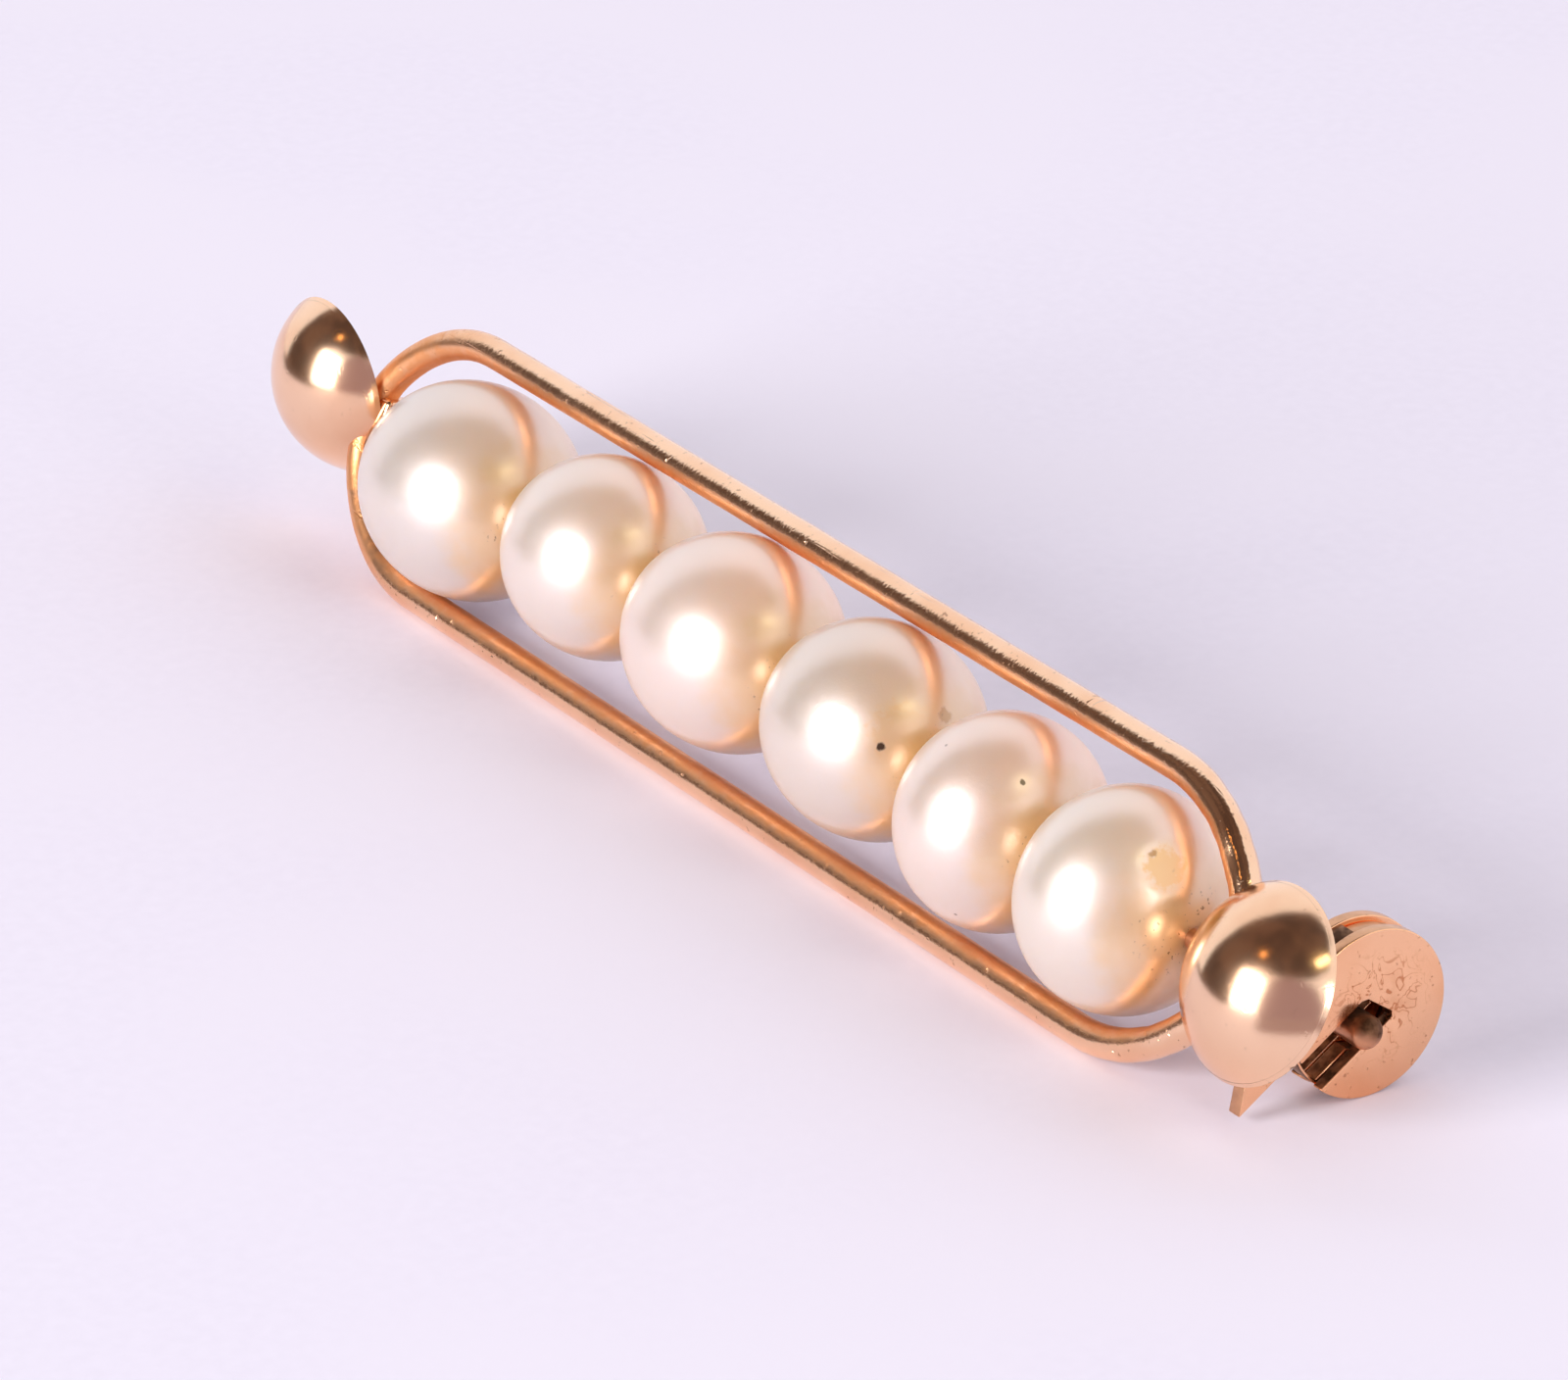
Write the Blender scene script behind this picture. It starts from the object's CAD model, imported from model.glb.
import math

import bmesh
import bpy
from mathutils import Matrix, Vector, noise


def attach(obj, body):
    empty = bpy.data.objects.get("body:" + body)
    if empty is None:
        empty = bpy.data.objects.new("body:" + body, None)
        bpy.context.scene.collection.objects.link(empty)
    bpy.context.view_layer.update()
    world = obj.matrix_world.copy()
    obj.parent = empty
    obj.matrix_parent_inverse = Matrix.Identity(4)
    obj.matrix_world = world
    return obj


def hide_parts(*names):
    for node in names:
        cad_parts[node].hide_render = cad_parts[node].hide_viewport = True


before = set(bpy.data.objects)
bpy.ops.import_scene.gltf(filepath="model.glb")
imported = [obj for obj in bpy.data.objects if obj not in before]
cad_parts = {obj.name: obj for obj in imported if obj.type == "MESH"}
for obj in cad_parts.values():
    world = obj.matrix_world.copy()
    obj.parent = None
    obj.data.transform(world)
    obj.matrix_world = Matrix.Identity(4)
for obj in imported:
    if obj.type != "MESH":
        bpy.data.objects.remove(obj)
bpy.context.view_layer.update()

# The view. The brooch is seen from its catch end and a little from above, through a long lens,
# so that the bar runs away from the near half-ball to the far one with little perspective.
mm = 0.001
camera = bpy.data.objects.new("camera", bpy.data.cameras.new("camera"))
camera.data.sensor_width = 36
camera.data.lens = 185.82
camera.data.clip_start = 0.01
camera.location = Vector((142.163, -95.130, 81.087)) * mm
camera.rotation_mode = "QUATERNION"
camera.rotation_quaternion = Vector((-0.75688, 0.50269, -0.41764)).to_track_quat("-Z", "Y")
bpy.context.collection.objects.link(camera)
bpy.context.scene.camera = camera
bpy.context.scene.view_settings.view_transform = "Standard"


# The table and the studio. Fine matt white paper lies under the brooch. The gold and the pearls mirror
# all that stands round it: a pale sweep, a dark ceiling, a dark corner on the left, a grey patch in
# front of the catch, a large softbox in front of the pearls and a narrow one on the right.
def add(tree, kind, inputs=None, **settings):
    """A new node with its settings made, and its inputs set to values or joined to other nodes."""
    made = tree.nodes.new(kind)
    for name, value in settings.items():
        setattr(made, name, value)
    for socket, value in (inputs or {}).items():
        if isinstance(value, bpy.types.NodeSocket):
            tree.links.new(value, made.inputs[socket])
        else:
            made.inputs[socket].default_value = value
    return made


def mask(tree, value, low, high):
    """0 where the value is below low and 1 where it is above high, with a smooth step between."""
    step = add(tree, "ShaderNodeMapRange", {"Value": value, "From Min": low, "From Max": high},
               interpolation_type="SMOOTHSTEP")
    return step.outputs["Result"]


def tint(tree, amount, below, above):
    """A mix of two colours."""
    mixed = add(tree, "ShaderNodeMix", data_type="RGBA")
    for socket, value in ((mixed.inputs[0], amount), (mixed.inputs[6], below), (mixed.inputs[7], above)):
        if isinstance(value, bpy.types.NodeSocket):
            tree.links.new(value, socket)
        elif isinstance(value, tuple):
            socket.default_value = (*value, 1)
        else:
            socket.default_value = value
    return mixed.outputs[2]


def maths(tree, operation, first, second=0.0, third=0.0):
    """One step of arithmetic."""
    return add(tree, "ShaderNodeMath", {0: first, 1: second, 2: third}, operation=operation).outputs[0]


def toward(azimuth, elevation):
    """The direction of a point of the studio: azimuth 0 is in front of the pearls, 90 at the catch."""
    a, e = math.radians(azimuth), math.radians(elevation)
    return Vector((math.sin(a) * math.cos(e), -math.cos(a) * math.cos(e), math.sin(e)))


def softbox(name, azimuth, elevation, width, height, radiance, colour):
    """A light panel of that width and height in degrees, 1 m away and turned to the brooch."""
    distance = 1.0
    lamp = bpy.data.lights.new(name, "AREA")
    lamp.shape = "RECTANGLE"
    lamp.size = 2 * distance * math.tan(math.radians(width / 2))
    lamp.size_y = 2 * distance * math.tan(math.radians(height / 2))
    lamp.energy = radiance * math.pi * lamp.size * lamp.size_y
    lamp.color = colour
    stand = bpy.data.objects.new(name, lamp)
    stand.location = toward(azimuth, elevation) * distance + Vector((0, 0, 3 * mm))
    stand.rotation_euler = toward(azimuth, elevation).to_track_quat("Z", "Y").to_euler()
    stand.visible_camera = False
    bpy.context.collection.objects.link(stand)


softbox("front_softbox", 1, 18.5, 24, 30, 14.5, (1, 0.98, 0.98))
softbox("side_softbox", 93, 18, 9, 22, 5, (1, 0.95, 0.95))
softbox("warm_lamp", 355, 54, 4, 4, 5, (1, 0.5, 0.15))
softbox("window_lamp", 98, 52, 16, 7, 4.2, (1, 0.92, 0.55))

world = bpy.data.worlds.new("studio")
bpy.context.scene.world = world
world.use_nodes = True
sky = world.node_tree
sky.nodes.clear()
look = add(sky, "ShaderNodeTexCoord").outputs["Generated"]
ripple = add(sky, "ShaderNodeTexNoise", {"Vector": look, "Scale": 3.0, "Detail": 3.0})
drift = add(sky, "ShaderNodeVectorMath", {0: ripple.outputs["Color"], 1: (0.5, 0.5, 0.5)},
            operation="SUBTRACT").outputs[0]
drift = add(sky, "ShaderNodeVectorMath", {0: drift, "Scale": 0.12}, operation="SCALE").outputs[0]
look_ragged = add(sky, "ShaderNodeVectorMath", {0: look, 1: drift}, operation="ADD").outputs[0]
pale_sweep = (1.02, 1.02, 1.10)
grey_patch = (0.39, 0.29, 0.34)
dark_ceiling, dark_wood = (0.085, 0.055, 0.045), (0.165, 0.105, 0.08)


def patch(azimuth, elevation, radius, soft):
    """1 inside a round patch of the studio, counted in degrees, and 0 outside it."""
    near = add(sky, "ShaderNodeVectorMath", {0: look_ragged, 1: toward(azimuth, elevation)},
               operation="DOT_PRODUCT").outputs["Value"]
    return mask(sky, near, math.cos(math.radians(radius + soft)), math.cos(math.radians(radius - soft)))


# The ceiling's lower edge, as (azimuth, elevation): low on the left, where a dark cupboard stands
ceiling_edge = ((-180, 64), (-146, 64), (-124, 65), (-98, 62), (-87, 60), (-77, 50), (-69, 42), (-64, 30),
                (-61, 8), (-58, -12), (-17, -12), (-14, 26), (-8, 38), (0, 42), (80, 40), (100, 44),
                (125, 57), (147, 61), (180, 64))
ways = add(sky, "ShaderNodeSeparateXYZ", {0: look_ragged}).outputs
bearing = maths(sky, "ARCTAN2", ways["X"], maths(sky, "MULTIPLY", ways["Y"], -1.0))
bearing = maths(sky, "MULTIPLY_ADD", bearing, 0.5 / math.pi, 0.5)
edge = add(sky, "ShaderNodeValToRGB", {"Fac": bearing}).outputs["Color"]
stops = edge.node.color_ramp.elements
for azimuth, elevation in ceiling_edge:
    ends = {-180: stops[0], 180: stops[-1]}
    stop = ends[azimuth] if azimuth in ends else stops.new(azimuth / 360 + 0.5)
    stop.color = [(elevation + 20) / 100] * 3 + [1]
look_length = add(sky, "ShaderNodeVectorMath", {0: look_ragged}, operation="LENGTH").outputs["Value"]
rise = maths(sky, "ARCSINE", maths(sky, "DIVIDE", ways["Z"], look_length))
rise = maths(sky, "MULTIPLY_ADD", rise, 1.8 / math.pi, 0.2)
over = mask(sky, maths(sky, "SUBTRACT", rise, edge), -0.03, 0.03)
ceiling = tint(sky, mask(sky, ripple.outputs["Fac"], 0.42, 0.62), dark_ceiling, dark_wood)
room = tint(sky, patch(48, 10, 32, 5), pale_sweep, grey_patch)
room = tint(sky, over, room, ceiling)
paths = add(sky, "ShaderNodeLightPath").outputs
room = tint(sky, paths["Is Camera Ray"], room, (0.89, 0.83, 0.965))
fill = maths(sky, "MULTIPLY_ADD", paths["Is Diffuse Ray"], 0.16, 1.0)
glow = add(sky, "ShaderNodeBackground", {"Color": room, "Strength": fill})
add(sky, "ShaderNodeOutputWorld", {"Surface": glow.outputs[0]})

table = bmesh.new()
bmesh.ops.create_grid(table, x_segments=8, y_segments=8, size=1.5)
table_mesh = bpy.data.meshes.new("table")
table.to_mesh(table_mesh)
table_top = bpy.data.objects.new("table", table_mesh)
bpy.context.collection.objects.link(table_top)
paper = bpy.data.materials.new("paper")
paper.use_nodes = True
sheet = paper.node_tree
at = add(sheet, "ShaderNodeTexCoord").outputs["Object"]
fibre = add(sheet, "ShaderNodeTexNoise", {"Vector": at, "Scale": 2600.0, "Detail": 4.0}).outputs["Fac"]
cloud = add(sheet, "ShaderNodeTexNoise", {"Vector": at, "Scale": 60.0, "Detail": 2.0}).outputs["Fac"]
white = tint(sheet, fibre, (0.84, 0.81, 0.93), (0.895, 0.865, 0.985))
white = tint(sheet, mask(sheet, cloud, 0.4, 0.65), white, (0.88, 0.85, 0.96))
grain = add(sheet, "ShaderNodeBump", {"Strength": 0.25, "Distance": 0.02 * mm, "Height": fibre})
shader = sheet.nodes["Principled BSDF"]
sheet.links.new(white, shader.inputs["Base Color"])
sheet.links.new(grain.outputs["Normal"], shader.inputs["Normal"])
shader.inputs["Roughness"].default_value = 0.9
shader.inputs["Specular IOR Level"].default_value = 0.1
table_mesh.materials.append(paper)


# Two cards lie on the table just outside the view: a grey one in front of the near half-ball, and a
# dark one to its left. Their edges fade. They are seen only in the gold and the pearls.
def table_card(name, azimuth, spread, start, light, dark):
    """A card that opens like a fan from the near half-ball, glowing softly between two colours."""
    foot = Vector((19.4, 1.1, 0)) * mm
    fade, length = 6, 1.1
    card = bmesh.new()
    corner = card.verts.new(toward(azimuth - spread - fade, 0) * start)
    bmesh.ops.spin(card, geom=[corner], cent=(0, 0, 0), axis=(0, 0, 1), steps=24, dvec=(0, 0, 0),
                   angle=math.radians(2 * (spread + fade)), use_duplicate=False)
    far_edge = bmesh.ops.extrude_edge_only(card, edges=card.edges[:])["geom"]
    bmesh.ops.scale(card, verts=[g for g in far_edge if isinstance(g, bmesh.types.BMVert)],
                    vec=(length / start, length / start, 1))
    bmesh.ops.translate(card, verts=card.verts, vec=foot + Vector((0, 0, 0.05)) * mm)
    mesh = bpy.data.meshes.new(name)
    card.to_mesh(mesh)
    card.free()
    piece = bpy.data.objects.new(name, mesh)
    bpy.context.collection.objects.link(piece)
    material = bpy.data.materials.new(name)
    material.use_nodes = True
    board = material.node_tree
    spot = add(board, "ShaderNodeTexCoord").outputs["Object"]
    away = add(board, "ShaderNodeVectorMath", {0: spot, 1: foot}, operation="SUBTRACT").outputs[0]
    reach = add(board, "ShaderNodeVectorMath", {0: away}, operation="LENGTH").outputs["Value"]
    heading = add(board, "ShaderNodeVectorMath", {0: away}, operation="NORMALIZE").outputs[0]
    facing = add(board, "ShaderNodeVectorMath", {0: heading, 1: toward(azimuth, 0)},
                 operation="DOT_PRODUCT").outputs["Value"]
    sides = mask(board, facing, math.cos(math.radians(spread + fade)), math.cos(math.radians(spread - fade)))
    solid = maths(board, "MULTIPLY", mask(board, reach, start, start * 1.5), sides)
    speckle = add(board, "ShaderNodeTexNoise", {"Vector": spot, "Scale": 90.0, "Detail": 3.0})
    lit = add(board, "ShaderNodeEmission", {"Color": tint(board, speckle.outputs["Fac"], dark, light)})
    clear = add(board, "ShaderNodeBsdfTransparent")
    faded = add(board, "ShaderNodeMixShader", {0: solid, 1: clear.outputs[0], 2: lit.outputs[0]})
    board.links.new(faded.outputs[0], board.nodes["Material Output"].inputs["Surface"])
    mesh.materials.append(material)
    piece.visible_camera = False
    piece.visible_diffuse = False
    piece.visible_shadow = False


table_card("grey_card", 49, 32, 12 * mm, (0.46, 0.36, 0.38), grey_patch)
table_card("dark_card", -44, 26, 62 * mm, dark_wood, dark_ceiling)

# The loop. One length of rose gold wire is bent round into a long flat loop with rounded shoulders,
# its ends soldered shut. It is worn, with file marks and small hammer flats at the near shoulders.
loop_half_w, wire_r = 3.16 * mm, 0.39 * mm
shoulder_r = 4.45 * mm
shoulder_x, end_x = 14.03 * mm, 15.75 * mm
shoulder_turn = math.acos(0.6)
file_marks, hammer_marks = 0.012 * mm, 0.05 * mm
# The brooch lies rolled on its side, on the lower wire and the rim of the catch
onto_table = Matrix.Translation(Vector((0.275, -1.22327, 3.28791)) * mm)
lying = onto_table @ Matrix.Rotation(math.radians(66.5), 4, "X")
rose_light, rose_deep = (0.97, 0.65, 0.43), (0.87, 0.47, 0.26)
tarnish_brown, orange_gold, soot = (0.22, 0.09, 0.04), (0.86, 0.40, 0.17), (0.10, 0.045, 0.022)


def worn_gold():
    """Group for old rose gold: colour, roughness and height of its patches, pits and scratches."""
    group = bpy.data.node_groups.new("worn_gold", "ShaderNodeTree")
    for name, kind in (("Place", "NodeSocketVector"), ("Tarnish", "NodeSocketFloat")):
        group.interface.new_socket(name, in_out="INPUT", socket_type=kind)
    for name, kind in (("Color", "NodeSocketColor"), ("Roughness", "NodeSocketFloat"),
                       ("Height", "NodeSocketFloat")):
        group.interface.new_socket(name, in_out="OUTPUT", socket_type=kind)
    given = add(group, "NodeGroupInput").outputs
    place = given["Place"]
    patches = add(group, "ShaderNodeTexNoise", {"Vector": place, "Scale": 420.0, "Detail": 3.0})
    pits = add(group, "ShaderNodeTexNoise", {"Vector": place, "Scale": 5200.0, "Detail": 2.0})
    graze = add(group, "ShaderNodeTexNoise", {"Vector": place, "Scale": 13000.0, "Detail": 2.0})
    stains = add(group, "ShaderNodeTexNoise", {"Vector": place, "Scale": 6500.0, "Detail": 3.0})
    across = add(group, "ShaderNodeMapping", {"Vector": place, "Rotation": (0.3, 0.2, 0.5),
                                              "Scale": (180, 5200, 2600)}).outputs[0]
    hair = add(group, "ShaderNodeTexNoise", {"Vector": across, "Scale": 1.0, "Detail": 3.0}).outputs["Fac"]
    along = add(group, "ShaderNodeMapping", {"Vector": place, "Rotation": (0.0, 0.4, -0.3),
                                             "Scale": (3600, 150, 4200)}).outputs[0]
    nick = add(group, "ShaderNodeTexNoise", {"Vector": along, "Scale": 1.0, "Detail": 2.0}).outputs["Fac"]
    metal = tint(group, mask(group, patches.outputs["Fac"], 0.35, 0.7), rose_light, rose_deep)
    metal = tint(group, maths(group, "MULTIPLY", mask(group, patches.outputs["Fac"], 0.3, 0.7), 0.5),
                 rose_light, metal)
    spots = maths(group, "MULTIPLY", mask(group, stains.outputs["Fac"], 0.66, 0.72), given["Tarnish"])
    metal = tint(group, spots, metal, tarnish_brown)
    scratches = maths(group, "MAXIMUM", mask(group, hair, 0.66, 0.74), mask(group, nick, 0.68, 0.76))
    rough = maths(group, "MULTIPLY_ADD", patches.outputs["Fac"], 0.10, 0.045)
    rough = maths(group, "ADD", rough, maths(group, "MULTIPLY", spots, 0.35))
    height = maths(group, "SUBTRACT", maths(group, "MULTIPLY", pits.outputs["Fac"], 0.25),
                   maths(group, "MULTIPLY", scratches, 0.5))
    height = maths(group, "ADD", height, maths(group, "MULTIPLY", patches.outputs["Fac"], 1.0))
    height = maths(group, "ADD", height, maths(group, "MULTIPLY", graze.outputs["Fac"], 0.2))
    add(group, "NodeGroupOutput", {"Color": metal, "Roughness": rough, "Height": height})
    return group


gold_wear = worn_gold()


def toned(tree, colour, tone):
    """A colour multiplied by a tone."""
    product = add(tree, "ShaderNodeMix", {0: 1.0, 6: colour, 7: tone}, data_type="RGBA",
                  blend_type="MULTIPLY")
    return product.outputs[2]


def gold(name, tarnish, bump, warm=(1.0, 1.0, 1.0), dull=0.0, soil=soot):
    """The worn gold of one piece. It is soiled where the mesh's attribute "soiled" nears 1."""
    material = bpy.data.materials.new(name)
    material.use_nodes = True
    tree = material.node_tree
    spot = add(tree, "ShaderNodeTexCoord").outputs["Object"]
    wear = add(tree, "ShaderNodeGroup", {}, node_tree=gold_wear)
    tree.links.new(spot, wear.inputs["Place"])
    wear.inputs["Tarnish"].default_value = tarnish
    metal = toned(tree, wear.outputs["Color"], (*warm, 1))
    soiled = add(tree, "ShaderNodeAttribute", attribute_name="soiled").outputs["Fac"]
    blotch = add(tree, "ShaderNodeTexNoise", {"Vector": spot, "Scale": 3500.0, "Detail": 4.0}).outputs["Fac"]
    cover = maths(tree, "MULTIPLY", soiled, maths(tree, "MULTIPLY_ADD", blotch, 1.2, 0.4))
    cover.node.use_clamp = True
    surface = tint(tree, cover, metal, soil)
    relief = add(tree, "ShaderNodeBump", {"Strength": 1.0, "Distance": bump * 0.01 * mm,
                                          "Height": wear.outputs["Height"]})
    rough = maths(tree, "ADD", wear.outputs["Roughness"], maths(tree, "MULTIPLY", cover, 0.3))
    principled = tree.nodes["Principled BSDF"]
    principled.inputs["Metallic"].default_value = 1
    tree.links.new(surface, principled.inputs["Base Color"])
    tree.links.new(maths(tree, "ADD", rough, dull), principled.inputs["Roughness"])
    tree.links.new(relief.outputs["Normal"], principled.inputs["Normal"])
    return material


def make_piece(name, bm, material, body, node):
    """Turns a finished bmesh into a smooth piece that rides on a body and stands for a CAD node."""
    mesh = bpy.data.meshes.new(name)
    bm.to_mesh(mesh)
    bm.free()
    mesh.shade_smooth()
    mesh.set_sharp_from_angle(angle=math.radians(38))
    mesh.materials.append(material)
    piece = bpy.data.objects.new(name, mesh)
    bpy.context.collection.objects.link(piece)
    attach(piece, body)
    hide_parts(node)


def run_on(bm, end, steps, centre=(0, 0, 0), turn=0.0, travel=(0, 0, 0)):
    """Draws the wire on from its end, round a centre or straight ahead, and gives its new end."""
    made = bmesh.ops.spin(bm, geom=end, cent=centre, axis=(0, 0, 1), angle=turn, steps=steps,
                          dvec=Vector(travel) / steps, use_merge=False, use_duplicate=False)
    return made["geom_last"]


def dent(bm, depth, scale, shift):
    """Presses the surface in by up to that depth, unevenly, as wear and filing do."""
    bm.normal_update()
    moves = [v.normal * (depth * (0.5 + 0.5 * noise.noise(v.co * scale + Vector(shift)))) for v in bm.verts]
    for v, move in zip(bm.verts, moves):
        v.co -= move


loop = bmesh.new()
first = bmesh.ops.create_circle(loop, segments=28, radius=wire_r)["verts"]
stand_up = Matrix.Translation((-shoulder_x, -loop_half_w, 0)) @ Matrix.Rotation(math.pi / 2, 4, "Y")
bmesh.ops.transform(loop, matrix=stand_up, verts=first)
end = loop.verts[:] + loop.edges[:]
for side in (1, -1):
    end = run_on(loop, end, 110, travel=(side * 2 * shoulder_x, 0, 0))
    low, high = side * (shoulder_r - loop_half_w), side * (loop_half_w - shoulder_r)
    end = run_on(loop, end, 22, (side * shoulder_x, low, 0), shoulder_turn)
    end = run_on(loop, end, 20, (side * end_x, 0, 0), math.pi - 2 * shoulder_turn)
    end = run_on(loop, end, 22, (side * shoulder_x, high, 0), shoulder_turn)
bmesh.ops.remove_doubles(loop, verts=loop.verts, dist=0.001 * mm)
bmesh.ops.recalc_face_normals(loop, faces=loop.faces)
dent(loop, file_marks, 900, (3, 1, 7))
for v in loop.verts:
    hammered = max(0, min(1, (v.co.x / mm - 14) / 2))
    v.co -= v.normal * (hammered * hammer_marks * max(0, noise.noise(v.co * 1900)))
soiled = loop.verts.layers.float.new("soiled")
# The inner side and the far end are a deeper orange, where no cloth rubs them bright
for v in loop.verts:
    inward = Vector((-math.copysign(max(0, abs(v.co.x) - shoulder_x), v.co.x), -v.co.y, 0)).normalized()
    far_end = 0.9 * max(0, min(1, (-v.co.x / mm - 13.5) / 3))
    v[soiled] = min(1, max(0, far_end, 0.35 + 1.2 * v.normal.dot(inward)))
bmesh.ops.transform(loop, matrix=lying, verts=loop.verts)
wire_gold = gold("wire_gold", 0.5, 2.4, dull=0.03, soil=orange_gold)
make_piece("wire_loop", loop, wire_gold, "brooch", "frame")

# The half-balls. Each is stamped from gold sheet, solid and polished to a mirror, with a flat back
# soldered on the end of the loop. The far one sits crooked. Fine scratches dull them a little.
ball_r, ball_h, back_edge, polish_marks = 2.26 * mm, 1.45 * mm, 0.16 * mm, 0.008 * mm
ball_gold = gold("ball_gold", 0.12, 0.25, dull=0.075)
ball_sphere_r = (ball_r ** 2 + ball_h ** 2) / (2 * ball_h)
for name, x, aside, tilt in (("near_half_ball", 19.15, 0, -4), ("far_half_ball", -19.7, 0.4, 26)):
    ball = bmesh.new()
    bmesh.ops.create_uvsphere(ball, u_segments=96, v_segments=72, radius=ball_sphere_r)
    bmesh.ops.translate(ball, verts=ball.verts, vec=(0, 0, ball_h - ball_sphere_r))
    bmesh.ops.bisect_plane(ball, geom=ball.verts[:] + ball.edges[:] + ball.faces[:],
                           plane_co=(0, 0, 0), plane_no=(0, 0, 1), clear_inner=True)
    rim = [e for e in ball.edges if e.is_boundary]
    back = bmesh.ops.contextual_create(ball, geom=rim)["faces"]
    bmesh.ops.bevel(ball, geom=back[0].edges[:], offset=back_edge, affect="EDGES", segments=5,
                    profile=0.5, material=-1)
    bmesh.ops.recalc_face_normals(ball, faces=ball.faces)
    dent(ball, polish_marks, 700, (x, 0, 2))
    seat = Matrix.Translation(Vector((x, aside, 0.2)) * mm) @ Matrix.Rotation(math.radians(tilt), 4, "X")
    bmesh.ops.transform(ball, matrix=lying @ seat, verts=ball.verts)
    make_piece(name, ball, ball_gold, "brooch", "frame")

# The catch. Two round cheeks of sheet gold stand apart on a post behind the near half-ball, with a
# slot cut into both for the pin. Handling and old dirt have left brown hairlines round the slot.
back_roll = Matrix.Rotation(math.radians(33.5), 4, "X")
back_turned = onto_table @ back_roll
catch_r, cheek_t, slot_low, slot_high = 1.98 * mm, 0.3 * mm, -0.5 * mm, 0.44 * mm
catch_y, catch_z = 1.45183 * mm, -2.5294 * mm
catch_gold = gold("catch_gold", 0.45, 0.6, (1.0, 0.845, 0.73), dull=0.12)
wall_outer_r, wall_inner_r, wall_t = 1.93 * mm, 1.88 * mm, 0.5 * mm
wall_start, wall_turn = math.radians(65), math.radians(150)
rim_from = 1.8 * mm
# The hairlines and a brown patina thin out away from the slot's inner end
slot_root = back_turned @ Vector((19.44 * mm, catch_y + 0.25 * mm, catch_z))
tree = catch_gold.node_tree
spot = add(tree, "ShaderNodeTexCoord").outputs["Object"]
from_slot = add(tree, "ShaderNodeVectorMath", {0: spot, 1: slot_root}, operation="DISTANCE").outputs["Value"]
curl = add(tree, "ShaderNodeTexNoise", {"Vector": spot, "Scale": 2000.0, "Detail": 2.0, "Distortion": 1.2})
ridge = maths(tree, "ABSOLUTE", maths(tree, "SUBTRACT", curl.outputs["Fac"], 0.5))
hairline = maths(tree, "MULTIPLY", mask(tree, ridge, 0.026, 0.008), mask(tree, from_slot, 1.6 * mm, 0.7 * mm))
patina = add(tree, "ShaderNodeTexNoise", {"Vector": spot, "Scale": 1100.0, "Detail": 5.0}).outputs["Fac"]
patina = maths(tree, "MULTIPLY", mask(tree, patina, 0.5, 0.72), mask(tree, from_slot, 1.3 * mm, 0.3 * mm))
principled = tree.nodes["Principled BSDF"]
clean = principled.inputs["Base Color"].links[0].from_socket
stained = tint(tree, maths(tree, "MULTIPLY", patina, 0.5), clean, (0.60, 0.24, 0.10))
stained = tint(tree, maths(tree, "MULTIPLY", hairline, 0.85), stained, (0.56, 0.20, 0.08))
tree.links.new(stained, principled.inputs["Base Color"])


def plate(outline, thickness, bevel):
    """A flat plate with softened edges: its outline is drawn on YZ, and its thickness is along X."""
    flat = bmesh.ops.contextual_create(outline, geom=outline.edges[:])["faces"]
    grown = bmesh.ops.extrude_face_region(outline, geom=flat, use_keep_orig=True)["geom"]
    bmesh.ops.translate(outline, verts=[g for g in grown if isinstance(g, bmesh.types.BMVert)],
                        vec=(thickness, 0, 0))
    bmesh.ops.recalc_face_normals(outline, faces=outline.faces)
    edges = [e for e in outline.edges if e.calc_face_angle(0) > 1]
    bmesh.ops.bevel(outline, geom=edges, offset=bevel, affect="EDGES", segments=3, profile=0.5,
                    material=-1)


def arc(bm, start, turn, steps):
    """Draws an arc about the X axis from a point, and gives its first and last vertex."""
    corner = bm.verts.new(start)
    made = bmesh.ops.spin(bm, geom=[corner], cent=(0, 0, 0), axis=(1, 0, 0), angle=turn, steps=steps,
                          dvec=(0, 0, 0), use_merge=False, use_duplicate=False)
    return corner, [g for g in made["geom_last"] if isinstance(g, bmesh.types.BMVert)][0]


def soil_walls(bm, inner, rim):
    """Soils the walls of a plate: those of its slot or hole by one amount, and its rim by another."""
    layer = bm.faces.layers.float.new("soiled")
    for face in bm.faces:
        middle = face.calc_center_median()
        if abs(face.normal.x) < 0.3:
            face[layer] = inner if math.hypot(middle.y, middle.z) < rim_from else rim


low_turn, high_turn = math.asin(-slot_low / catch_r), math.asin(slot_high / catch_r)
# The slot's slanted inner end, as (y, z) in mm
slot_end = ((0.36, -0.5), (0.42, -0.38), (0.12, 0.36), (-0.02, 0.44))
for name, x in (("outer_cheek", 19.14), ("inner_cheek", 18.34)):
    cheek = bmesh.new()
    start = (0, -catch_r * math.cos(low_turn), slot_low)
    left, right = arc(cheek, start, 2 * math.pi - low_turn - high_turn, 96)
    slot = [cheek.verts.new((0, y * mm, z * mm)) for y, z in slot_end]
    line = [left] + slot + [right]
    for a, b in zip(line, line[1:]):
        cheek.edges.new((a, b))
    plate(cheek, cheek_t, 0.035 * mm)
    soil_walls(cheek, 0.9, 0.3)
    bmesh.ops.translate(cheek, verts=cheek.verts, vec=(x * mm, catch_y, catch_z))
    bmesh.ops.transform(cheek, matrix=back_turned, verts=cheek.verts)
    make_piece(name, cheek, catch_gold, "brooch", "frame")
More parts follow.
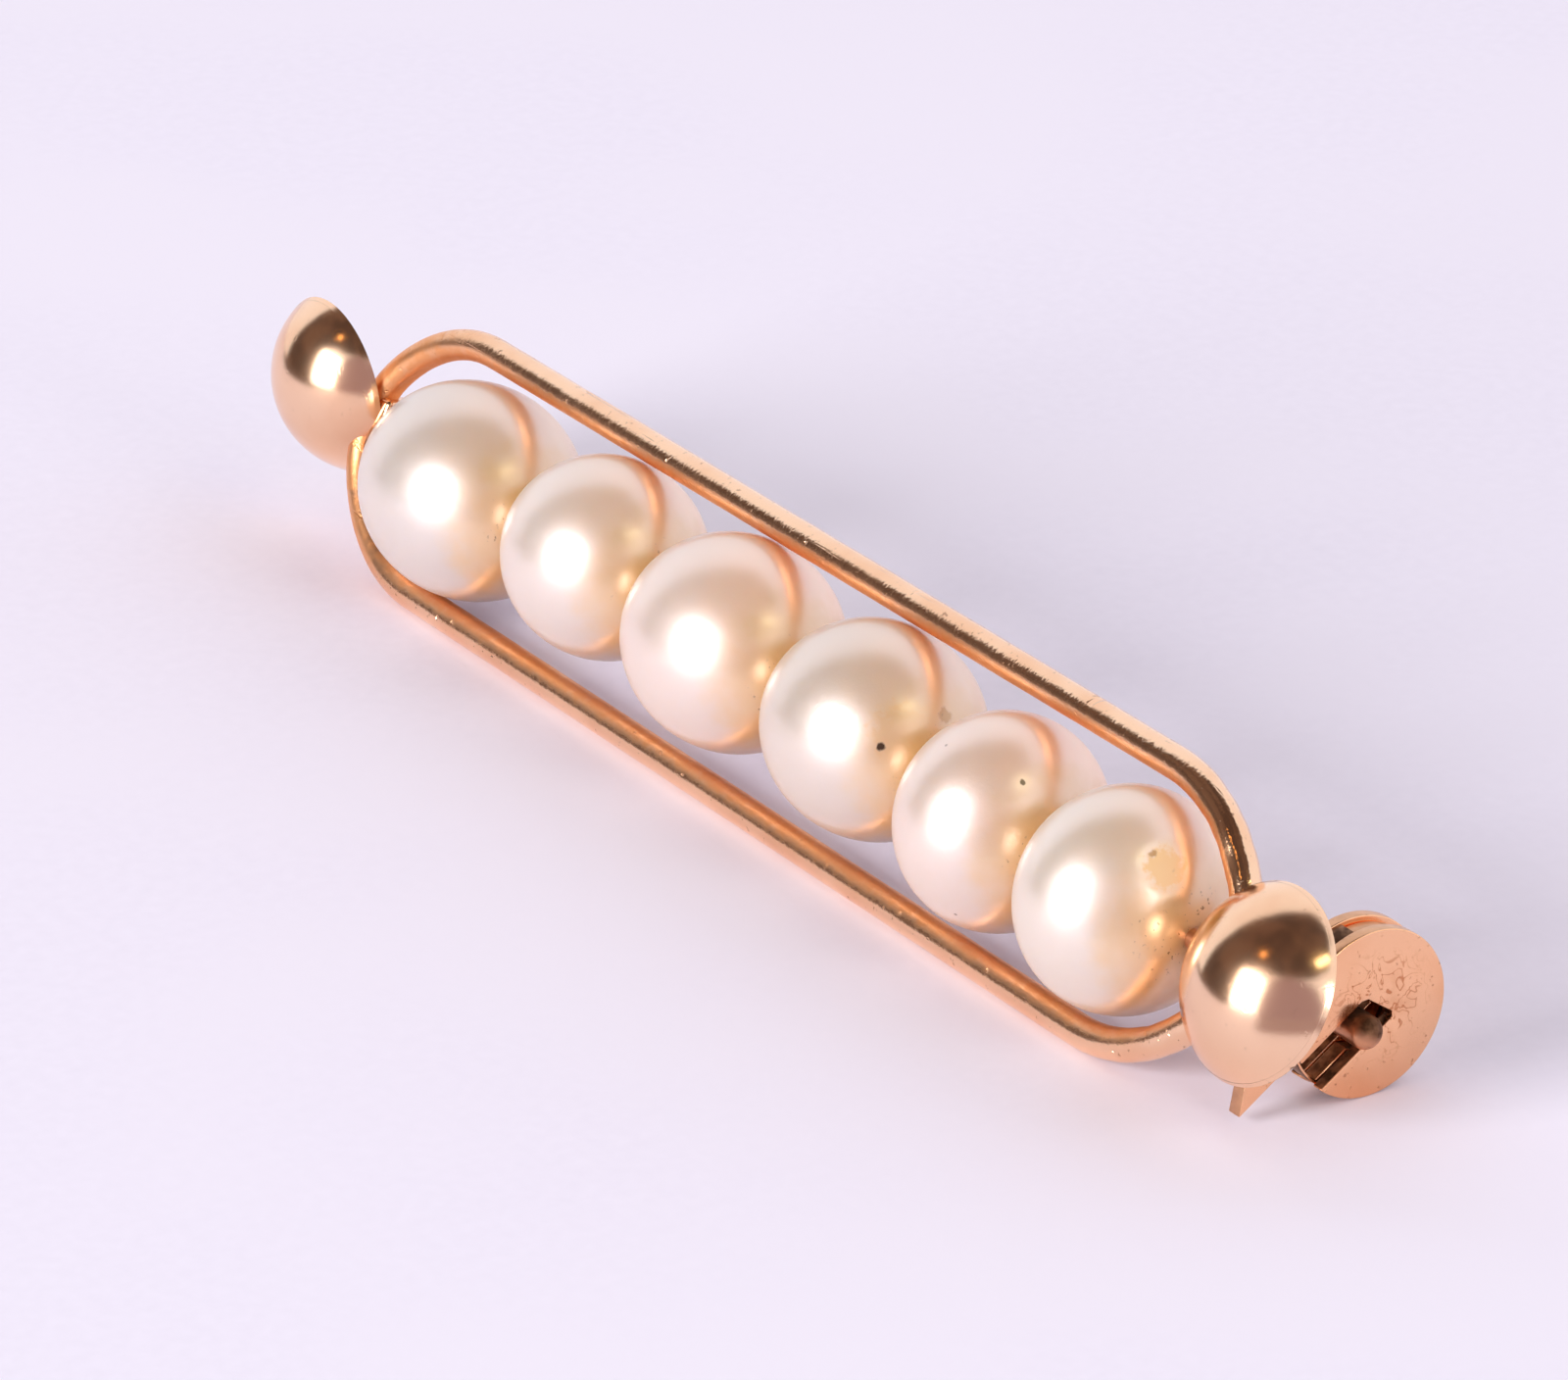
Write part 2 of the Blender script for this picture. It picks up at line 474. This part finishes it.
# A thin wall closes the gap between the cheeks along the far part of the rim, and holds the ring
wall = bmesh.new()
corner, last = arc(wall, (0, wall_outer_r, 0), wall_turn, 60)
inner, inner_last = arc(wall, (0, wall_inner_r, 0), wall_turn, 60)
wall.edges.new((corner, inner))
wall.edges.new((last, inner_last))
plate(wall, wall_t, 0.004 * mm)
soil_walls(wall, 0.9, 0.9)
bmesh.ops.rotate(wall, verts=wall.verts, cent=(0, 0, 0), matrix=Matrix.Rotation(wall_start, 3, "X"))
bmesh.ops.translate(wall, verts=wall.verts, vec=(18.64 * mm, catch_y, catch_z))
bmesh.ops.transform(wall, matrix=back_turned, verts=wall.verts)
make_piece("rim_wall", wall, catch_gold, "brooch", "frame")

# The posts. A short block of gold is soldered between the loop's near end and the cheeks, and a longer
# one goes down from its far end to the hinge. They are filed flat, with rounded edges.
hinge_y, hinge_z = 2.19497 * mm, -3.9 * mm
post_gold = gold("post_gold", 0.6, 0.7, (0.95, 0.88, 0.84), dull=0.08)


def block(name, low, high, placing, bevel):
    """A filed block of gold between two corners, with rounded edges."""
    bm = bmesh.new()
    bmesh.ops.create_cube(bm, size=1)
    size = [b - a for a, b in zip(low, high)]
    middle = [(a + b) / 2 for a, b in zip(low, high)]
    bmesh.ops.scale(bm, vec=size, verts=bm.verts)
    bmesh.ops.translate(bm, vec=middle, verts=bm.verts)
    bmesh.ops.bevel(bm, geom=bm.edges[:], offset=bevel, affect="EDGES", segments=4, profile=0.5,
                    material=-1)
    bmesh.ops.scale(bm, vec=(mm, mm, mm), verts=bm.verts)
    bmesh.ops.transform(bm, matrix=placing, verts=bm.verts)
    make_piece(name, bm, post_gold, "brooch", "frame")


block("catch_post", (18.34, -0.3, -0.992), (19.44, 1.2, 0.25), lying, 0.12)
block("catch_post_foot", (17.85, -0.3, -0.39), (18.5, 1.2, 0.25), lying, 0.12)
block("hinge_post", (-18.1, -0.8, -4.2), (-17.2, 0.8, 0.25), lying, 0.15)

# The hinge. Two round ears of sheet gold stand up from a small plate on the far post, and a rivet
# goes through both. The pin turns on the rivet between them.
ear_r, ear_t, ear_reach = 0.9 * mm, 0.4 * mm, 1.8 * mm
hinge_x = -16.2 * mm
for name, top in (("upper_ear", 0.9 * mm), ("lower_ear", -0.5 * mm)):
    ear = bmesh.new()
    left, right = arc(ear, (0, -ear_r, 0), -math.pi, 32)
    far_left = ear.verts.new((0, -ear_r, -ear_reach))
    far_right = ear.verts.new((0, ear_r, -ear_reach))
    for a, b in ((left, far_left), (far_left, far_right), (far_right, right)):
        ear.edges.new((a, b))
    plate(ear, ear_t, 0.06 * mm)
    bmesh.ops.rotate(ear, verts=ear.verts, cent=(0, 0, 0), matrix=Matrix.Rotation(math.pi / 2, 3, "Y"))
    bmesh.ops.translate(ear, verts=ear.verts, vec=(hinge_x, hinge_y, hinge_z + top))
    bmesh.ops.transform(ear, matrix=back_turned, verts=ear.verts)
    make_piece(name, ear, post_gold, "brooch", "frame")
block("hinge_plate", (-18.0, 1.295, -4.8), (-17.15, 3.095, -3.0), back_turned, 0.1)


def turned(profile, steps=48):
    """A round piece turned about Z from a line of (radius, height) points."""
    bm = bmesh.new()
    line = [bm.verts.new((r * mm, 0, z * mm)) for r, z in profile]
    for a, b in zip(line, line[1:]):
        bm.edges.new((a, b))
    bmesh.ops.spin(bm, geom=bm.verts[:] + bm.edges[:], cent=(0, 0, 0), axis=(0, 0, 1), dvec=(0, 0, 0),
                   angle=2 * math.pi, steps=steps, use_merge=True, use_duplicate=False)
    bmesh.ops.remove_doubles(bm, verts=bm.verts, dist=0.002 * mm)
    bmesh.ops.recalc_face_normals(bm, faces=bm.faces)
    return bm


rivet = turned([(0, -0.9), (0.28, -0.9), (0.35, -0.83), (0.35, 0.83), (0.28, 0.9), (0, 0.9)])
bmesh.ops.translate(rivet, verts=rivet.verts, vec=(hinge_x, hinge_y, hinge_z))
bmesh.ops.transform(rivet, matrix=back_turned, verts=rivet.verts)
pin_gold = gold("pin_gold", 0.4, 0.8, (0.70, 0.53, 0.45), dull=0.22)
make_piece("rivet", rivet, pin_gold, "brooch", "hinge_rivet")

# The rod. A hard copper-coloured gold wire threads all six pearls, and is let into the loop's wire
# at both ends.
rod = turned([(0, -18.44), (0.25, -18.44), (0.25, 18.44), (0, 18.44)], 24)
bmesh.ops.rotate(rod, verts=rod.verts, cent=(0, 0, 0), matrix=Matrix.Rotation(math.pi / 2, 3, "Y"))
bmesh.ops.transform(rod, matrix=lying, verts=rod.verts)
make_piece("threading_rod", rod, pin_gold, "brooch", "pearl_rod")

# The pearls. Six cultured pearls, a little uneven, are drilled through and threaded on the rod. Their
# cream nacre is clear at the top, so it mirrors the gold, and yellow and dirty round the holes.
nacre_light, nacre_warm = (0.61, 0.525, 0.44), (0.86, 0.605, 0.40)
hole_yellow, hole_dirt = (0.76, 0.47, 0.15), (0.10, 0.055, 0.02)


def lustre():
    """Group for nacre: its colour, roughness and height from the place in mm about a pearl's centre."""
    group = bpy.data.node_groups.new("nacre", "ShaderNodeTree")
    for name, kind in (("Place", "NodeSocketVector"), ("Half Length", "NodeSocketFloat"),
                       ("Tone", "NodeSocketColor"), ("Wrinkle", "NodeSocketFloat")):
        group.interface.new_socket(name, in_out="INPUT", socket_type=kind)
    for name, kind in (("Color", "NodeSocketColor"), ("Roughness", "NodeSocketFloat"),
                       ("Height", "NodeSocketFloat"), ("Dirt", "NodeSocketFloat")):
        group.interface.new_socket(name, in_out="OUTPUT", socket_type=kind)
    given = add(group, "NodeGroupInput").outputs
    place = given["Place"]
    parts = add(group, "ShaderNodeSeparateXYZ", {0: place}).outputs
    outward = maths(group, "DIVIDE", maths(group, "ABSOLUTE", parts["X"]), given["Half Length"])
    clouds = add(group, "ShaderNodeTexNoise", {"Vector": place, "Scale": 0.5, "Detail": 2.0}).outputs["Fac"]
    fine = add(group, "ShaderNodeTexNoise", {"Vector": place, "Scale": 14.0, "Detail": 3.0}).outputs["Fac"]
    uneven = add(group, "ShaderNodeTexNoise", {"Vector": place, "Scale": 1.4, "Detail": 4.0}).outputs["Fac"]
    leaning = add(group, "ShaderNodeVectorMath", {0: place, 1: (0.25, 0.25, 0.19)}, operation="DOT_PRODUCT")
    leaning = maths(group, "ADD", leaning.outputs["Value"], maths(group, "MULTIPLY", clouds, 0.5))
    nacre = tint(group, mask(group, leaning, 0.0, 1.25), nacre_light, nacre_warm)
    nacre = toned(group, nacre, given["Tone"])
    sway = maths(group, "MULTIPLY", maths(group, "SUBTRACT", uneven, 0.5), 0.35)
    reach = maths(group, "ADD", outward, sway)
    yellow = maths(group, "MULTIPLY", mask(group, reach, 0.52, 0.9), 0.9)
    nacre = tint(group, yellow, nacre, hole_yellow)
    specks = add(group, "ShaderNodeTexNoise", {"Vector": place, "Scale": 9.0, "Detail": 5.0}).outputs["Fac"]
    dirty = maths(group, "MULTIPLY", mask(group, specks, 0.62, 0.7), mask(group, reach, 0.84, 0.98))
    dirty = maths(group, "MULTIPLY", dirty, 0.8)
    nacre = tint(group, dirty, nacre, hole_dirt)
    rough = maths(group, "MULTIPLY_ADD", uneven, 0.10, 0.31)
    ripple = add(group, "ShaderNodeTexNoise", {"Vector": place, "Scale": 8.0, "Detail": 5.0,
                                               "Distortion": 1.0}).outputs["Fac"]
    height = maths(group, "ADD", maths(group, "MULTIPLY", fine, 0.25),
                   maths(group, "MULTIPLY", ripple, given["Wrinkle"]))
    dulled = maths(group, "MAXIMUM", dirty, maths(group, "MULTIPLY", yellow, 0.25))
    add(group, "NodeGroupOutput", {"Color": nacre, "Roughness": rough, "Height": height, "Dirt": dulled})
    return group


nacre_group = lustre()


def pearl_skin(name, centre, half_length, tone, wrinkle, marks):
    """The nacre of one pearl, about its own centre. Its small marks have no lustre, its stains half."""
    material = bpy.data.materials.new(name)
    material.use_nodes = True
    tree = material.node_tree
    spot = add(tree, "ShaderNodeTexCoord").outputs["Object"]
    local = add(tree, "ShaderNodeMapping", {"Vector": spot, "Location": -centre / mm,
                                            "Scale": (1 / mm, 1 / mm, 1 / mm)}).outputs[0]
    skin = add(tree, "ShaderNodeGroup", {}, node_tree=nacre_group)
    tree.links.new(local, skin.inputs["Place"])
    skin.inputs["Half Length"].default_value = half_length
    skin.inputs["Tone"].default_value = (*tone, 1)
    skin.inputs["Wrinkle"].default_value = wrinkle
    colour, dark = skin.outputs["Color"], skin.outputs["Dirt"]
    ragged = add(tree, "ShaderNodeTexNoise", {"Vector": local, "Scale": 7.0, "Detail": 3.0}).outputs["Fac"]
    for place, size, depth, mark_colour, share in marks:
        away = add(tree, "ShaderNodeVectorMath", {0: local, 1: place}, operation="DISTANCE").outputs["Value"]
        away = maths(tree, "ADD", away, maths(tree, "MULTIPLY", maths(tree, "SUBTRACT", ragged, 0.5), size))
        cover = maths(tree, "MULTIPLY", mask(tree, away, size, 0.55 * size), share)
        colour = tint(tree, cover, colour, mark_colour)
        bare = 1 if size < 0.4 else 0.5
        dark = maths(tree, "MAXIMUM", dark, maths(tree, "MULTIPLY", cover, bare))
    relief = add(tree, "ShaderNodeBump", {"Strength": 0.35, "Distance": 0.01 * mm,
                                          "Height": skin.outputs["Height"]})
    principled = tree.nodes["Principled BSDF"]
    tree.links.new(colour, principled.inputs["Base Color"])
    tree.links.new(skin.outputs["Roughness"], principled.inputs["Roughness"])
    tree.links.new(relief.outputs["Normal"], principled.inputs["Normal"])
    tree.links.new(dark, principled.inputs["Metallic"])
    principled.inputs["IOR"].default_value = 2.7
    principled.inputs["Specular IOR Level"].default_value = 1
    principled.inputs["Specular Tint"].default_value = (1, 0.93, 0.92, 1)
    principled.inputs["Subsurface Weight"].default_value = 0.5
    principled.inputs["Subsurface Radius"].default_value = (1.2 * mm, 0.8 * mm, 0.5 * mm)
    principled.inputs["Subsurface Scale"].default_value = 1
    principled.inputs["Coat Weight"].default_value = 0.4
    principled.inputs["Coat Roughness"].default_value = 0.1
    principled.inputs["Coat IOR"].default_value = 1.55
    return material


# The marks on three of the pearls, in mm about the centre: place, size, depth, colour and cover
pit_brown, ochre = (0.06, 0.03, 0.015), (0.80, 0.46, 0.12)
pearl_marks = {
    4: (((2.40, -0.85, 0.95), 0.95, 0, ochre, 0.5), ((2.23, -1.34, 0.78), 0.12, 0.02, pit_brown, 0.95),
        ((2.49, 0.25, 1.25), 0.25, 0, (0.42, 0.20, 0.06), 0.6)),
    5: (((1.58, -0.59, 1.75), 0.09, 0.02, pit_brown, 0.9), ((1.72, -0.62, 1.50), 0.05, 0, pit_brown, 0.7),
        ((0.87, -1.84, -1.44), 0.05, 0, pit_brown, 0.8), ((-0.28, -1.33, 2.10), 0.05, 0, pit_brown, 0.5)),
    6: (((1.82, -0.28, 1.58), 0.60, 0.05, ochre, 1.0),
        ((1.56, -0.45, 1.87), 0.12, 0.02, (0.42, 0.20, 0.05), 0.8),
        ((1.90, -0.12, 1.52), 0.08, 0.01, (0.42, 0.20, 0.05), 0.6))}

# Each pearl: its radius, half its length, its place along the bar, its shift across it in mm, its tone
row = ((2.66, 3.10, -13.04, -0.08, (0.90, 0.92, 0.95)), (2.45, 2.67, -7.21, 0.28, (1.0, 0.98, 0.98)),
       (2.56, 2.91, -1.57, 0.18, (1.05, 0.98, 0.97)), (2.53, 2.82, 4.22, 0.20, (0.92, 0.90, 0.87)),
       (2.52, 2.32, 9.42, -0.04, (1.05, 0.97, 0.95)), (2.58, 2.34, 14.14, -0.04, (1.0, 1.0, 0.97)))
hole_r, drawn_r, lift = 0.3 * mm, 1.6 * mm, 0.1
for number, (radius, half, x, aside, tone) in enumerate(row, 1):
    pearl = bmesh.new()
    bmesh.ops.create_uvsphere(pearl, u_segments=96, v_segments=72, radius=1)
    tips = [v for v in pearl.verts if abs(v.co.z) > 0.99999]
    bmesh.ops.delete(pearl, geom=tips, context="VERTS")
    bmesh.ops.rotate(pearl, verts=pearl.verts, cent=(0, 0, 0), matrix=Matrix.Rotation(math.pi / 2, 3, "Y"))
    bmesh.ops.scale(pearl, vec=(half * mm, radius * mm, radius * mm), verts=pearl.verts)
    edges = [e for e in pearl.edges if e.is_boundary]
    for v in {v for e in edges for v in e.verts}:
        out = Vector((0, v.co.y, v.co.z)).normalized() * hole_r
        v.co.y, v.co.z = out.y, out.z
    # The pearl sits a little off the rod's line, so its drilled ends are drawn over to the rod
    to_rod = Vector((0, -aside, -lift)) * mm
    for v in pearl.verts:
        share = max(0, 1 - math.hypot(v.co.y, v.co.z) / drawn_r) ** 2
        v.co += to_rod * min(1, 1.45 * share)
        flat = (v.co.y ** 2 + v.co.z ** 2) / (radius * mm) ** 2
        if share:
            v.co.x = math.copysign(half * mm * math.sqrt(max(0, 1 - flat)), v.co.x)
    bmesh.ops.bridge_loops(pearl, edges=edges)
    bmesh.ops.recalc_face_normals(pearl, faces=pearl.faces)
    seat = Vector((x, aside, lift)) * mm
    centre = lying @ seat
    bmesh.ops.translate(pearl, verts=pearl.verts, vec=seat)
    bmesh.ops.transform(pearl, matrix=lying, verts=pearl.verts)
    marks = pearl_marks.get(number, ())
    for place, size, depth, mark_colour, share in marks:
        for v in pearl.verts:
            away = (v.co - centre - Vector(place) * mm).length / (size * mm)
            v.co -= (v.co - centre).normalized() * (depth * mm * max(0, 1 - away ** 2))
    skin = pearl_skin("nacre_%d" % number, centre, half, tone, 0.9 if number in (4, 5) else 0.4, marks)
    make_piece("pearl_%d_nacre" % number, pearl, skin, "brooch", "pearl_%d" % number)

# The pin. A hard copper-coloured gold wire with a flat eye at the hinge. It runs behind the pearls,
# tapers a little towards the catch and ends in a blunt tip that comes out between the cheeks.
tip = 35.893
nose = [(0.39 * math.cos(k * math.pi / 16), tip + 0.30 * math.sin(k * math.pi / 16)) for k in range(9)]
stem = turned([(0, 0.62), (0.4, 0.62), (0.4, 6), (0.4, 12), (0.4, 17.5), (0.4, 24), (0.39, 30)] + nose)
eye = turned([(0.4, -0.45), (0.84, -0.45), (0.9, -0.39), (0.9, 0.39), (0.84, 0.45), (0.4, 0.45),
              (0.4, -0.45)], 64)
direction = Vector((0.998815, -0.046866, 0.013103))
pivot = Matrix.Translation(Vector((-15.925, 2.75964, 1.24724)) * mm)
along_pin = direction.to_track_quat("Z", "Y").to_matrix().to_4x4()
bmesh.ops.transform(stem, matrix=pivot @ along_pin, verts=stem.verts)
stem.normal_update()
# Old dirt has darkened the upper side of the tip
tip_soiled = stem.verts.layers.float.new("soiled")
for v in stem.verts:
    near_end = max(0, min(1, v.co.x / mm - 19.0))
    v[tip_soiled] = near_end * max(0, min(0.9, 0.3 + 1.6 * v.normal.dot(Vector((0.2, 0.35, 0.9)))))
bmesh.ops.transform(eye, matrix=pivot @ back_roll, verts=eye.verts)
make_piece("pin_stem_wire", stem, pin_gold, "pin", "pin")
make_piece("pin_eye", eye, pin_gold, "pin", "pin")

# The lever of the safety catch. A flat ring with a gap turns between the cheeks and closes the slot
# over the pin. Its pointed lever sticks out below, cut from the same sheet, for a fingernail.
ring_r, ring_hole_r, ring_t = 1.86 * mm, 0.95 * mm, 0.4 * mm
gap_low, gap_high, lever_top, lever_end = -0.5 * mm, 0.33 * mm, 1.15 * mm, 3.66 * mm
ring = bmesh.new()
outer_start = math.asin(lever_top / ring_r)
outer_end = math.asin(gap_low / ring_r)
begin = (0, -ring_r * math.cos(outer_start), ring_r * math.sin(outer_start))
top, bottom = arc(ring, begin, -(2 * math.pi - (outer_start - outer_end)), 80)
hole_start = math.asin(gap_high / ring_hole_r)
hole_end = math.asin(gap_low / ring_hole_r)
begin = (0, -ring_hole_r * math.cos(hole_start), ring_hole_r * math.sin(hole_start))
hole_top, hole_bottom = arc(ring, begin, -(2 * math.pi - (hole_start - hole_end)), 56)
point = ring.verts.new((0, -lever_end, gap_high))
shoulder = ring.verts.new((0, -lever_end + lever_top - gap_high, lever_top))
for a, b in ((bottom, hole_bottom), (hole_top, point), (point, shoulder), (shoulder, top)):
    ring.edges.new((a, b))
plate(ring, ring_t, 0.03 * mm)
soil_walls(ring, 0.8, 0.4)
bmesh.ops.translate(ring, verts=ring.verts, vec=(18.89 * mm - ring_t / 2, catch_y, catch_z))
bmesh.ops.transform(ring, matrix=back_turned, verts=ring.verts)
make_piece("catch_lever", ring, catch_gold, "rotor", "catch_rotor")
